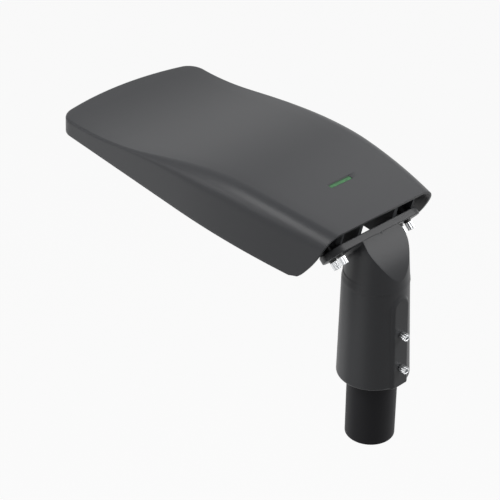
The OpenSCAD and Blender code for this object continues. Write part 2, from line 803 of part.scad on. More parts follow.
module led_boards() {
    color("#e8e8e4") at_head() for (s = [-1, 1]) difference() {
        translate([s * board_x - board_half_w, window_u + 2, board_v])
            cube([2 * board_half_w, window_end - window_u - 4, board_t]);
        for (u = board_screw_u)
            hole(s * board_x, u, board_v - overrun, board_t + 2 * overrun, board_screw_d / 2 + 0.2);
    }
}

module at_lenses() {
    for (x = array_x, c = [-0.5, 0.5], r = [0:lens_rows - 1])
        translate([x + c * lens_pitch_x, window_u + 4 + lens_pitch_u * (r + 0.5), 0]) children();
}

module led_chips() {
    chip_w = 3.5;
    chip_t = 0.7;
    color("#e6c84a") at_head() at_lenses() translate([-chip_w / 2, -chip_w / 2, board_v - chip_t])
        cube([chip_w, chip_w, chip_t]);
}

module lens_arrays() {
    dome_h = 2.7;
    cup_r = 2.8;
    cup_floor = 0.4;
    color([0.85, 0.88, 0.9, 0.6]) at_head() difference() {
        union() {
            for (x = array_x) translate([x - array_w / 2, window_u + 4, lens_v])
                cube([array_w, window_end - window_u - 8, lens_base]);
            at_lenses() difference() {
                translate([0, 0, lens_v + lens_r - dome_h]) sphere(lens_r, $fn = screw_fn);
                translate([-lens_r, -lens_r, lens_v + lens_base / 2]) cube(lens_r * 2);
            }
        }
        at_lenses() hole(0, 0, lens_v + cup_floor, lens_base, cup_r);
    }
}

module board_screws() {
    color(steel) at_head() for (s = [-1, 1], u = board_screw_u)
        translate([s * board_x, u, board_v]) pan_screw(board_screw_d, 2.7, 1.8, board_screw_l);
}

module gear_tray() {
    color(zinc) at_head() difference() {
        translate([0, 0, tray_v]) linear_extrude(tray_t) rounded(tray_half_w, tray_u, tray_end, 4);
        both_sides() {
            for (p = tray_corners) hole(p.x, p.y, 0, crown_h, body_hole_r);
            hole(lug_place.x, lug_place.y, 0, crown_h, body_hole_r);
        }
    }
}

module gear_screws() {
    color(steel) at_head() both_sides() {
        for (p = tray_corners) translate([p.x, p.y, tray_v]) body_screw();
        translate([lug_place.x, lug_place.y, tray_v - lug_t]) pan_screw(screw_d, 3.8, 2, 8);
    }
}

module led_driver() {
    color("#b9bcbd") at_head() {
        difference() {
            union() {
                translate([-driver_l / 2, driver_u, tray_v - driver_h])
                    cube([driver_l, driver_w, driver_h]);
                translate([-driver_l / 2 - lug_l, lug_place.y - lug_w / 2, tray_v - lug_t])
                    cube([driver_l + 2 * lug_l, lug_w, lug_t]);
            }
            both_sides() hole(lug_place.x, lug_place.y, 0, crown_h, body_hole_r);
        }
    }
}

module surge_protector() {
    color("#8d3b32") at_head() translate([surge_x, gear_row_u, tray_v - surge_size.z]) cube(surge_size);
}

module terminal_block() {
    edge = 1;
    wire_r = 3;
    wire_v = 9;
    driver_hole_r = 2.6;
    color("#d9d6cb") at_head() translate([terminal_x, gear_row_u, tray_v - terminal_h]) difference() {
        cube([pole_count * pole_pitch + 2 * edge, terminal_b, terminal_h]);
        for (i = [0:pole_count - 1]) translate([edge + pole_pitch * (i + 0.5), 0, 0]) {
            translate([0, 0, wire_v]) between(-overrun, 7, wire_r, screw_fn);
            hole(0, terminal_b / 2, -overrun, 7, driver_hole_r);
        }
    }
}

module cable_gland() {
    color(rubber) at_head() translate([0, 0, gland_v]) difference() {
        union() {
            between(bulkhead_u - 22, bulkhead_u - 8, gland_r + 1, round_fn);
            between(bulkhead_u - 8.5, bulkhead_u, nut_r, 6);
            between(bulkhead_u - 1, bulkhead_u + rib_t + 8, gland_r, round_fn);
            between(bulkhead_u + rib_t, bulkhead_u + rib_t + 4.5, nut_r, 6);
        }
        between(0, gear_end, cable_r, screw_fn);
    }
}

// Saddle under the tray that grips the supply cable behind the gland
module cable_clamp() {
    drop = 7;
    color("#303234") at_head() translate([-saddle_w / 2, tray_u + 10, gland_v - drop]) difference() {
        cube([saddle_w, saddle_b, tray_v - gland_v + drop]);
        translate([saddle_w / 2, 0, drop]) along(saddle_b, cable_r + 0.2, screw_fn);
    }
}

module earth_screw() {
    color("#c9a64a") at_head() translate([-earth_x, 0, earth_v]) union() {
        between(bulkhead_u - 3, bulkhead_u + rib_t + 4, screw_d / 2, screw_fn);
        between(bulkhead_u + rib_t, bulkhead_u + rib_t + 1.2, 5.5, screw_fn);
        between(bulkhead_u + rib_t + 1, bulkhead_u + rib_t + 4.5, 4.6, 6);
    }
}

module vent_plug() {
    color(rubber) at_head() translate([earth_x, 0, earth_v]) union() {
        between(bulkhead_u - 4, bulkhead_u, vent_r + 3, screw_fn);
        between(bulkhead_u - 1, bulkhead_u + rib_t + 2, vent_r, screw_fn);
    }
}

pole_stub();
spigot();
flange_screws();
clamp_screw_upper();
clamp_screw_lower();
housing();
chassis();
chassis_screws();
gear_cover();
cover_gasket();
hinge_pins();
cover_latch();
front_glass();
glass_gasket();
glass_clips();
clip_screws();
led_boards();
led_chips();
lens_arrays();
board_screws();
gear_tray();
gear_screws();
led_driver();
surge_protector();
terminal_block();
cable_gland();
cable_clamp();
earth_screw();
vent_plug();
badge_insert();
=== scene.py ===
"""Dresses the road luminaire: smooth castings, machined screws and real finishes."""

import json
import math
import bpy
import numpy as np
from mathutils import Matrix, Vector


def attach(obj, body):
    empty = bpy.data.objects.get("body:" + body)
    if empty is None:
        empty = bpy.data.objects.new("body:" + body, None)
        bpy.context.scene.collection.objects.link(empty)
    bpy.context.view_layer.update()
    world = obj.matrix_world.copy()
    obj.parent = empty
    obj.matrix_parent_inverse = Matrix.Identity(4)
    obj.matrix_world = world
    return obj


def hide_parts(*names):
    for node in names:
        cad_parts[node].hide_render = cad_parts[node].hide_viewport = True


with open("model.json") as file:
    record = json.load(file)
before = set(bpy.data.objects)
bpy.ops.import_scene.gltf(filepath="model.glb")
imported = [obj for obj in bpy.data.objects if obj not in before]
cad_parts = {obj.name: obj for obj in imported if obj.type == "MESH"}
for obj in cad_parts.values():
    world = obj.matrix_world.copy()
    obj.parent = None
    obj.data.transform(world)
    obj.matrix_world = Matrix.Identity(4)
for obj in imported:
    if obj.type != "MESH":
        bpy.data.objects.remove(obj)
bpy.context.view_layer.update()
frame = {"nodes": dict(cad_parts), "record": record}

MM = 0.001

# Pole and sleeve, in millimetres
POLE_R = 30.0
RIM_Z = 88.0
SEAT_Z = 183.0
SLEEVE_R = 43.2
SLEEVE_TOP_R = 39.1
SLEEVE_H = 130.0
SLEEVE_LEAN = 1.16
SLEEVE_SET = -0.4
RIM_ROUND = 3.6
SHOULDER_H = 10.0
SHOULDER_STEP = 1.5
THROAT_R = 20.0
THROAT_L = 40.0
BORE_GAP = 0.08
SEAT_GAP = 0.3
MOUTH_LOW = 0.3
MOUTH_TOP = 1.5
MOUTH_GROW = 0.9
SPIGOT_SIDES = 288
PAD_HALF_W = 12.2
PAD_BLEND = 6.0
PAD_H = 119.5
PAD_SLOPE = 2.36
PAD_PROUD = 0.6
PAD_RIM_SHARE = 0.55

# Flange and neck
FLANGE_SLOPE = 47.5
FLANGE_Y = 4.0
FLANGE_Z = 285.0
FLANGE_HALF_L = 73.5
FLANGE_B = 46.0
FLANGE_T = 8.0
FLANGE_DEEPER = 0.7
FLANGE_CORNER = 18.0
FLANGE_FRONT_CORNER = 30.0
FLANGE_EDGE = 1.3
NECK_R = 38.4
NECK_TOP_R = 33.2
NECK_Y = 1.0
NECK_ROUND_Z = 262.0
NECK_ROUND = 0.016
NECK_RINGS = 56
NECK_END_EDGE = 0.5
NECK_END_BLEND = 0.8
NECK_SINK = 0.4
NECK_BLEND = 1.6
SHOULDER_FALL = 2.5
NO_END = 999.0
INTO_FLANGE = 0.5
SWEEP_MEET = 0.2
FLARE_FROM = -5.0
FLARE_RISE = 9.0
FLARE_TO = 28.0
FLARE_FALL = 8.0
SWEEP_TURN = 17.0
FLANGE_FILLET = 8.0
BOLT_X = 54.6
BOLT_ROW = 16.0

# Screws
HEAD_R = 4.6
HEAD_LENGTH = 8.7
RIB_R = 1.15
RIB_COUNT = 8
GROOVE = 1.2
SOCKET_W = 5.0
SOCKET_DEPTH = 4.3
SCREW_CHAMFER = 0.15
SOCKET_CHAMFER = 0.25
SCREW_SIDES = 96
SCREW_SHARP = 28
COLLAR_T = 3.7
COLLAR_BORE_R = 3.05
COLLAR_R = 4.3
COLLAR_CHAMFER = 0.3
COLLAR_SIDES = 64
BOLT_SHANK = 24.0
SCREW_GAP = 0.7
CLAMP_NOSE_GAP = 0.3
CLAMP_LOW = 27.0
CLAMP_HIGH = 72.0

# Head, in its own frame: u forward, v up
HEAD_TILT = 5.0
HEAD_L = 457.5
HEAD_HALF_W = 110.4
REAR_WAIST = 22.4
WAIST_L = 220.0
CROWN_H = 71.5
REAR_H = 65.5
FRONT_H = 21.5
CREST_U = 120.0
DIP_END_U = 430.0
PLAN_CORNER = 25.0
FRONT_BOW = 400.0
EDGE_FILLET = 22.0
FRONT_FILLET = 3.5
FILLET_U = 150.0
FILLET_L = 180.0
WALL = 3.0
WELD = 0.02
SHELL_EDGE = 0.55
SHELL_SHARP = 50
RAKE_L = 46.0
RAKE_CORNER = 20.0
RAKE_TURN = 58.0
RAKE_BULGE = 4.0
RAKE_TOP_U = 2.5
RAKE_OVER = 0.5
SEAT_U = 8.0
SEAT_V = 46.3
BADGE_X = 2.8
BADGE_U = 71.5
BADGE_HALF_L = 17.0
BADGE_HALF_B = 3.25
BADGE_CORNER = 0.9
POCKET_GAP = 0.1
POCKET_DEPTH = 0.9
POCKET_FLARE = 2.6
INLAY_GAP = 0.15
INLAY_LOW = -1.15
INLAY_TOP = -0.35
STRIPE_END_GAP = 1.0
STRIPE_SIDE_GAP = 1.15
# Shift that leaves a wider dark rim in front of the stripe: painted shade of the pocket.
STRIPE_SHADE_SHIFT = -0.7
STRIPE_LOW = -0.4
STRIPE_TOP = -0.2

# Stage and coat, in millimetres and shares
FLOOR_Z = -900.0
FLOOR_HALF = 12000.0
FLOOR_TONE = 0.82
FLOOR_WHITE = 0.94
WORLD_LIGHT = 0.08
WORLD_SEEN = 1.0
BUMP_DEPTH = 0.06
GRAIN_SHARE = 0.6
CLOUD_SHARE = 0.4
CLOUD_SCALE = 14


def rad(a):
    return math.radians(a)


def head_matrix():
    """Turns a point of the head's frame in millimetres into the part's frame."""
    c, s = math.cos(rad(HEAD_TILT)), math.sin(rad(HEAD_TILT))
    y = FLANGE_Y - SEAT_U * c + SEAT_V * s
    z = FLANGE_Z - SEAT_U * s - SEAT_V * c
    return np.array([[1, 0, 0], [0, c, s], [0, -s, c]]), np.array([0, y, z])


def flange_matrix():
    """Turns a point of the flange's frame in millimetres into the part's frame."""
    c, s = math.cos(rad(FLANGE_SLOPE)), math.sin(rad(FLANGE_SLOPE))
    return np.array([[1, 0, 0], [0, c, -s], [0, s, c]]), np.array([0, FLANGE_Y, FLANGE_Z])


def placed(points, where):
    turn, shift = where
    return np.asarray(points, float) @ turn + shift


def shade(mesh, angle):
    """Smooth shading that keeps edges sharp above an angle in degrees."""
    mesh.shade_smooth()
    mesh.set_sharp_from_angle(angle=rad(angle))


def new_mesh(name, points, faces, smooth_angle=35):
    """A mesh object at the origin, from points in millimetres in the part's frame."""
    mesh = bpy.data.meshes.new(name)
    mesh.from_pydata((np.asarray(points) * MM).tolist(), [], [tuple(f) for f in faces])
    mesh.validate()
    mesh.update()
    obj = bpy.data.objects.new(name, mesh)
    bpy.context.scene.collection.objects.link(obj)
    shade(mesh, smooth_angle)
    return obj


def flat_copy(obj):
    """Turns an object and its modifiers into a plain mesh object of the same name."""
    name = obj.name
    graph = bpy.context.evaluated_depsgraph_get()
    mesh = bpy.data.meshes.new_from_object(obj.evaluated_get(graph), depsgraph=graph)
    bpy.data.objects.remove(obj)
    plain = bpy.data.objects.new(name, mesh)
    bpy.context.scene.collection.objects.link(plain)
    return plain


def add_bevel(obj, width, segments, angle=40):
    """Rounds the edges sharper than an angle in degrees by a width in millimetres."""
    mod = obj.modifiers.new("edge", "BEVEL")
    mod.width = width * MM
    mod.segments = segments
    mod.limit_method = "ANGLE"
    mod.angle_limit = rad(angle)


def grid_faces(rows, cols, closed=False, flip=False):
    """Quads over a grid of points stored row by row."""
    faces = []
    for r in range(rows - 1):
        for c in range(cols if closed else cols - 1):
            d = (c + 1) % cols
            quad = (r * cols + c, r * cols + d, (r + 1) * cols + d, (r + 1) * cols + c)
            faces.append(quad[::-1] if flip else quad)
    return faces


# Outline of the housing
def smooth(t):
    """Eases from 0 to 1 while t goes from 0 to 1."""
    return (1 - math.cos(math.pi * min(1, max(0, t)))) / 2


def half_w(u):
    return HEAD_HALF_W - REAR_WAIST * (max(0, WAIST_L - u) / WAIST_L) ** 2


def top_v(u):
    if u < CREST_U:
        return CROWN_H - (CROWN_H - REAR_H) * ((CREST_U - u) / CREST_U) ** 2
    return CROWN_H - (CROWN_H - FRONT_H) * smooth((u - CREST_U) / (DIP_END_U - CREST_U))


def fillet_r(u):
    return EDGE_FILLET - (EDGE_FILLET - FRONT_FILLET) * smooth((u - FILLET_U) / FILLET_L)


def rake_u(v):
    """Rear edge of the housing at height v: a rounded lower corner, then a bowed rake."""
    low_v = RAKE_CORNER * (1 - math.cos(rad(RAKE_TURN)))
    if v < low_v:
        return RAKE_L - math.sqrt(RAKE_CORNER ** 2 - (RAKE_CORNER - v) ** 2)
    low_u = RAKE_L - RAKE_CORNER * math.sin(rad(RAKE_TURN))
    t = (v - low_v) / (REAR_H + RAKE_OVER - low_v)
    return low_u + (RAKE_TOP_U - low_u) * t - 4 * RAKE_BULGE * t * (1 - t)


BOW_U = HEAD_L - FRONT_BOW
CORNER_X = HEAD_HALF_W - PLAN_CORNER
CORNER_U = BOW_U + math.sqrt((FRONT_BOW - PLAN_CORNER) ** 2 - CORNER_X ** 2)
CORNER_TURN = math.atan2(CORNER_U - BOW_U, CORNER_X)
SIDE_N, CORNER_N, BOW_N = 110, 22, 24
WALL_N, FILLET_N = 12, 12
RAKE_FADE = 100.0


def plan_point(i, inset, v):
    """Point of the plan outline at station i, raked back near the rear by its height v."""
    if i <= SIDE_N:
        base = CORNER_U * (i / SIDE_N) ** 1.25
        u = base + rake_u(v) * max(0, 1 - base / RAKE_FADE) ** 2
        return half_w(u) - inset, u
    if i <= SIDE_N + CORNER_N:
        a = CORNER_TURN * (i - SIDE_N) / CORNER_N
        r = PLAN_CORNER - inset
        return CORNER_X + r * math.cos(a), CORNER_U + r * math.sin(a)
    a = CORNER_TURN + (math.pi / 2 - CORNER_TURN) * (i - SIDE_N - CORNER_N) / BOW_N
    r = FRONT_BOW - inset
    return r * math.cos(a), BOW_U + r * math.sin(a)


def section_point(i, k, depth):
    """Point k up the section at station i: the wall, then the fillet. depth is the inset."""
    v = 0.0
    x, u = plan_point(i, depth, v)
    for _ in range(4):
        r = max(0.4, fillet_r(u) - depth)
        if k <= WALL_N:
            v = (k / WALL_N) * (top_v(u) - depth - r)
            x, u = plan_point(i, depth, v)
        else:
            a = (k - WALL_N) / FILLET_N * math.pi / 2
            v = top_v(u) - depth - r * (1 - math.sin(a))
            x, u = plan_point(i, depth + r * (1 - math.cos(a)), v)
    return x, u, v


def skin_layer(depth):
    """Rows of points from one lower rim over the top to the other, one row a station."""
    stations = SIDE_N + CORNER_N + BOW_N
    cap = 10
    rows = []
    for i in range(stations + 1):
        right = [section_point(i, k, depth) for k in range(WALL_N + FILLET_N + 1)]
        x_end, u_end, v_end = right[-1]
        middle = [(x_end * (1 - 2 * m / cap), u_end, v_end) for m in range(1, cap)]
        left = [(-x, u, v) for x, u, v in reversed(right)]
        rows.append(right + middle + left)
    return np.array(rows)


def make_housing():
    """The lofted housing with its wall, its raked rear edge and its rounded rim."""
    outer, inner = skin_layer(0), skin_layer(WALL)
    rows, cols = outer.shape[0], outer.shape[1]
    points = np.concatenate([outer.reshape(-1, 3), inner.reshape(-1, 3)])
    base = rows * cols
    skin = grid_faces(rows, cols)
    faces = skin + [tuple(base + v for v in reversed(f)) for f in skin]
    for c in range(cols - 1):
        faces.append((c + 1, c, base + c, base + c + 1))
    for r in range(rows - 1):
        a, b = r * cols, (r + 1) * cols
        faces.append((a, b, base + b, base + a))
        a, b = a + cols - 1, b + cols - 1
        faces.append((b, a, base + a, base + b))
    obj = new_mesh("housing_shell", placed(points, head_matrix()), faces, SHELL_SHARP)
    weld = obj.modifiers.new("weld", "WELD")
    weld.merge_threshold = WELD * MM
    cut = obj.modifiers.new("badge", "BOOLEAN")
    cut.object = badge_cutter()
    cut.solver = "EXACT"
    add_bevel(obj, SHELL_EDGE, 3, SHELL_SHARP)
    shell = flat_copy(obj)
    bpy.data.objects.remove(bpy.data.objects["badge_cutter"])
    shade(shell.data, SHELL_SHARP)
    return shell


def badge_block(name, half_l, half_b, shift, low, high, flare=0.0):
    """A rounded block in the top of the housing at the badge. flare widens its top forward."""
    x0, u0, corner = BADGE_X, BADGE_U + shift, BADGE_CORNER
    slope = (top_v(u0 + 1) - top_v(u0 - 1)) / 2
    ring = []
    for quarter in range(4):
        cx = (half_l - corner) * (1 if quarter in (0, 3) else -1)
        cy = (half_b - corner) * (1 if quarter in (0, 1) else -1)
        for step in range(5):
            a = (quarter + step / 4) * math.pi / 2
            ring.append((cx + corner * math.cos(a), cy + corner * math.sin(a)))
    n = len(ring)
    points = [(x0 + x, u0 + y, top_v(u0) + slope * y + low) for x, y in ring]
    points += [(x0 + x, u0 + y + (flare if y > 0 else 0), top_v(u0) + slope * y + high)
               for x, y in ring]
    faces = grid_faces(2, n, closed=True)
    faces.append(tuple(range(n))[::-1])
    faces.append(tuple(range(n, 2 * n)))
    return new_mesh(name, placed(points, head_matrix()), faces)


def badge_cutter():
    """The block that cuts the badge's pocket, with a flared front wall."""
    cutter = badge_block("badge_cutter", BADGE_HALF_L + POCKET_GAP, BADGE_HALF_B + POCKET_GAP, 0,
                         -POCKET_DEPTH, POCKET_DEPTH, POCKET_FLARE)
    cutter.hide_render = True
    return cutter


def make_badge():
    """The dark inlay lying in the pocket: its dark green is partly the insert's own colour and partly
    painted shade, the pocket's shadow round the stripe.
    """
    badge = badge_block("badge_inlay", BADGE_HALF_L - INLAY_GAP, BADGE_HALF_B - INLAY_GAP, 0,
                        INLAY_LOW, INLAY_TOP)
    add_bevel(badge, 0.2, 2)
    return flat_copy(badge)


def make_badge_stripe():
    """The green stripe on the inlay, nearer to its rear edge, so that the wider dark rim left in front
    is painted shade of the pocket's front wall.
    """
    stripe = badge_block("badge_stripe", BADGE_HALF_L - STRIPE_END_GAP,
                         BADGE_HALF_B - STRIPE_SIDE_GAP, STRIPE_SHADE_SHIFT, STRIPE_LOW, STRIPE_TOP)
    add_bevel(stripe, 0.08, 2)
    return flat_copy(stripe)


# Spigot
def soft_min(a, b, k):
    """The lesser of two lengths, rounded where they cross over about k."""
    h = min(1, max(0, 0.5 + 0.5 * (b - a) / k))
    return b * (1 - h) + a * h - k * h * (1 - h)


def sleeve_radius(h):
    """Outer radius of the rim and the cone at height h above the rim's edge."""
    if h < RIM_ROUND:
        a = RIM_ROUND - h
        return SLEEVE_R - RIM_ROUND + math.sqrt(max(0, RIM_ROUND ** 2 - a ** 2))
    return SLEEVE_R + (SLEEVE_TOP_R - SLEEVE_R) * (h - RIM_ROUND) / (SLEEVE_H - RIM_ROUND)


def pad_face(x, h):
    """How far back the pad stands at x and height h, or nothing outside its outline."""
    arch_h = PAD_H - PAD_HALF_W
    side = PAD_HALF_W - abs(x)
    if h > arch_h:
        side = PAD_HALF_W - math.hypot(x, h - arch_h)
    depth = SLEEVE_R + PAD_PROUD - h * (math.tan(rad(PAD_SLOPE)) - math.tan(rad(SLEEVE_LEAN)))
    return depth, smooth((side + PAD_BLEND / 2) / PAD_BLEND)


def sleeve_heights():
    """Heights of the sleeve's rings: close at the rim and round the pad's arch, wide between."""
    heights = [RIM_ROUND * (1 - math.cos(k * math.pi / 16)) for k in range(9)]
    heights += [RIM_ROUND + k for k in range(1, 9)]
    heights += list(np.linspace(14, PAD_H - 16, 20))
    heights += list(np.linspace(PAD_H - 14.5, PAD_H + 2, 30))
    heights += list(np.linspace(PAD_H + 4, SLEEVE_H - 1.5, 4))
    return heights


def sleeve_ring(h, around):
    """One ring of the leaning sleeve at height h, with the pad raised at the rear."""
    lean = rad(SLEEVE_LEAN)
    base_r = sleeve_radius(h)
    pad_rim = RIM_ROUND * PAD_RIM_SHARE
    row = []
    for a in around:
        r = base_r
        across = r * math.cos(a)
        if abs(across) < PAD_HALF_W + PAD_BLEND and math.sin(a) < 0:
            depth, share = pad_face(across, h)
            if h < pad_rim:
                depth -= pad_rim - math.sqrt(max(0, pad_rim ** 2 - (pad_rim - h) ** 2))
            r = max(base_r, base_r + (depth / -math.sin(a) - base_r) * share)
        y = r * math.sin(a)
        row.append((r * math.cos(a), SLEEVE_SET + y * math.cos(lean) + h * math.sin(lean),
                    RIM_Z + h * math.cos(lean) - y * math.sin(lean)))
    return row


def make_spigot():
    """The cast spigot: bore, rounded rim, leaning sleeve, pad, shoulder, neck and flange."""
    n = SPIGOT_SIDES
    around = [2 * math.pi * j / n - math.pi / 2 for j in range(n)]
    bore_r = POLE_R + BORE_GAP
    seat_z = SEAT_Z + SEAT_GAP
    bore = ((THROAT_R, SEAT_Z + THROAT_L), (THROAT_R, seat_z), (bore_r, seat_z),
            (bore_r, RIM_Z + MOUTH_TOP), (POLE_R + MOUTH_GROW, RIM_Z + MOUTH_LOW))
    rows = [[(r * math.cos(a), r * math.sin(a), z) for a in around] for r, z in bore]
    rows += [sleeve_ring(h, around) for h in sleeve_heights()]
    rows += neck_rows(around)
    points = np.array(rows).reshape(-1, 3)
    faces = grid_faces(len(rows), n, closed=True)
    faces.append(tuple(range(len(points) - n, len(points))))
    body = new_mesh("spigot_body", points, faces, 38)
    return join([body, make_flange_plate()], "spigot_casting")


def rear_sweep():
    """Radius and centre of the arc that sweeps the neck's rear into the flange's rear face."""
    turn, shift = flange_matrix()
    tip = np.array([NECK_Y - NECK_R, RIM_Z + SLEEVE_H + SHOULDER_H])
    top = (np.array([0, 0, FLANGE_EDGE + SWEEP_MEET - FLANGE_T]) @ turn + shift)[1:]
    chord = top - tip
    length = float(np.hypot(*chord))
    r = length / 2 / math.sin(rad(SWEEP_TURN))
    inwards = np.array([chord[1], -chord[0]]) / length
    return r, (tip + top) / 2 + inwards * r * math.cos(rad(SWEEP_TURN))


SWEEP_R, SWEEP_AT = rear_sweep()


def neck_top(y):
    """Height of the neck's end at y: the flange's underside in front, the sweep behind."""
    turn, shift = flange_matrix()
    edge_y, edge_z = (np.array([0, 0, -FLANGE_T]) @ turn + shift)[1:]
    under = edge_z + INTO_FLANGE - (y - edge_y) * math.tan(rad(FLANGE_SLOPE))
    behind = SWEEP_AT[1] + math.sqrt(max(0, SWEEP_R ** 2 - (y - SWEEP_AT[0]) ** 2))
    return soft_min(under, behind, NECK_END_BLEND)


def neck_wall(a, z, end_z):
    """Radius about the neck's axis: shoulder and neck run together, then the flange's fillet."""
    shoulder_z = RIM_Z + SLEEVE_H
    t = (z - shoulder_z) / SHOULDER_H
    fall = SHOULDER_STEP * smooth(t) + SHOULDER_FALL * max(0, t - 1) * SHOULDER_H
    round_r = max(5.0, SLEEVE_TOP_R - fall)
    lean_y = SLEEVE_SET + math.tan(rad(SLEEVE_LEAN)) * (z - RIM_Z) - NECK_Y
    shoulder = lean_y * math.sin(a) + math.sqrt(max(1, round_r ** 2 - (lean_y * math.cos(a)) ** 2))
    neck = NECK_R + (NECK_TOP_R - NECK_R) * (z - shoulder_z) / (FLANGE_Z - shoulder_z)
    neck -= NECK_ROUND * max(0, z - NECK_ROUND_Z) ** 2
    r = -soft_min(-shoulder, -neck, NECK_BLEND)
    y = NECK_Y + neck * math.sin(a)
    near = max(0, 1 - (end_z - z) / FLANGE_FILLET)
    flare = FLANGE_FILLET * (1 - math.sqrt(1 - near ** 2))
    return r + flare * smooth((y - FLARE_FROM) / FLARE_RISE) * smooth((FLARE_TO - y) / FLARE_FALL)


def neck_end(a):
    """Height where the neck's wall meets its end in direction a, found by steps of one half."""
    z = FLANGE_Z - 20
    for _ in range(40):
        z = 0.5 * z + 0.5 * neck_top(NECK_Y + neck_wall(a, z, NO_END) * math.sin(a))
    return z


def neck_rows(around):
    """Rings up the shoulder and neck, over the rounded end edge and inwards across the sweep."""
    edge = NECK_END_EDGE
    low = RIM_Z + SLEEVE_H - NECK_SINK
    ends = [neck_end(a) for a in around]
    rows = []
    for t in np.linspace(0, 1, NECK_RINGS):
        heights = [low + (end - edge - low) * t for end in ends]
        walls = [neck_wall(a, z, end) for a, z, end in zip(around, heights, ends)]
        rows.append([(r * math.cos(a), NECK_Y + r * math.sin(a), z)
                     for a, r, z in zip(around, walls, heights)])
    steps = [(edge * (1 - math.cos(k)), 1, edge * (1 - math.sin(k)))
             for k in np.linspace(0, math.pi / 2, 5)[1:]]
    steps += [(edge, share, 0) for share in np.linspace(0.95, 0.01, 20)]
    for inset, share, drop in steps:
        row = []
        for a, r in zip(around, walls):
            reach = (r - inset) * share
            y = NECK_Y + reach * math.sin(a)
            row.append((reach * math.cos(a), y, neck_top(y) - drop))
        rows.append(row)
    return rows


def make_flange_plate():
    """The flange: a plate with rounded ends and broken edges."""
    steps = 14
    ring = []
    for quarter, (sx, sy) in enumerate(((1, 1), (-1, 1), (-1, -1), (1, -1))):
        r = FLANGE_FRONT_CORNER if sy > 0 else FLANGE_CORNER
        for k in range(steps + 1):
            a = (quarter + k / steps) * math.pi / 2
            ring.append((sx * (FLANGE_HALF_L - r) + r * math.cos(a),
                         FLANGE_B / 2 + sy * (FLANGE_B / 2 - r) + r * math.sin(a)))
    n = len(ring)
    centre = np.array([0, FLANGE_B / 2])
    ring = np.array(ring)
    turns = np.linspace(0, math.pi / 2, 6)
    under = -FLANGE_T - FLANGE_DEEPER
    levels = [(FLANGE_EDGE * (1 - math.sin(a)), under + FLANGE_EDGE * (1 - math.cos(a)))
              for a in turns]
    levels += [(inset, under - v) for inset, v in reversed(levels)]
    points = []
    for inset, v in levels:
        step = ring - centre
        scale = 1 - inset / np.maximum(abs(step), 1).max(axis=1)[:, None]
        points += [(x, s, v) for x, s in centre + step * scale]
    faces = grid_faces(len(levels), n, closed=True)
    faces.append(tuple(range(n))[::-1])
    faces.append(tuple(range((len(levels) - 1) * n, len(levels) * n)))
    return new_mesh("flange_plate", placed(points, flange_matrix()), faces, 38)


def join(objs, name):
    """Several mesh objects as one piece."""
    with bpy.context.temp_override(active_object=objs[0], selected_editable_objects=objs,
                                   selected_objects=objs, object=objs[0]):
        bpy.ops.object.join()
    objs[0].name = name
    objs[0].data.name = name
    return objs[0]


# Screws
def node(tree, kind, inputs=(), **settings):
    """Adds a node, sets its settings, and sets or links its inputs by position or name."""
    made = tree.nodes.new(kind)
    for key, value in settings.items():
        setattr(made, key, value)
    for key, value in (inputs.items() if isinstance(inputs, dict) else enumerate(inputs)):
        if value is None:
            continue
        if isinstance(value, bpy.types.NodeSocket):
            tree.links.new(value, made.inputs[key])
        else:
            made.inputs[key].default_value = value
    return made


